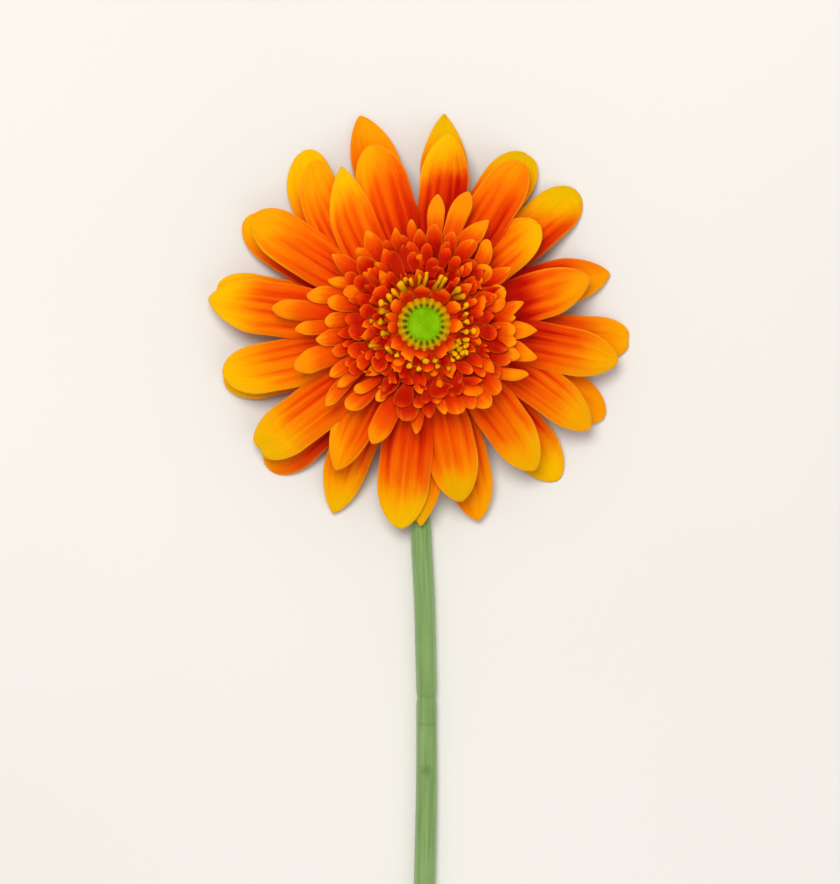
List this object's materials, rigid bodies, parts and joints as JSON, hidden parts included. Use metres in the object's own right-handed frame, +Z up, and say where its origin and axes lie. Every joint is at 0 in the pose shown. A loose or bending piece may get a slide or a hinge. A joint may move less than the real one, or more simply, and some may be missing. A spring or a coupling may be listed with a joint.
{
  "type": "gerbera daisy",
  "caption": "Single cut gerbera daisy lying face up, orange ray petals in layers round a red-orange floret ring, yellow stamens and a green button, on a bare green stem.",
  "frame": {"origin": "on the surface that the flower lies on, in the middle of its footprint", "axes": "+Z up, the way the bloom faces; +Y along the stem from its cut end towards the bloom"},
  "size_m": [0.1108, 0.306, 0.0319],
  "materials": {
    "stem": "matte",
    "calyx": "matte",
    "ray_petals": "satin",
    "outer_florets": "satin",
    "inner_florets": "satin",
    "stamens": "satin",
    "collar_petals": "satin",
    "disc": "satin"
  },
  "bodies": {
    "root": {"stem": "stem", "calyx": "calyx", "ray_petals": "ray_petals", "outer_florets": "outer_florets", "inner_florets": "inner_florets", "stamens": "stamens", "collar_petals": "collar_petals", "disc": "disc"}
  },
  "joints": []
}
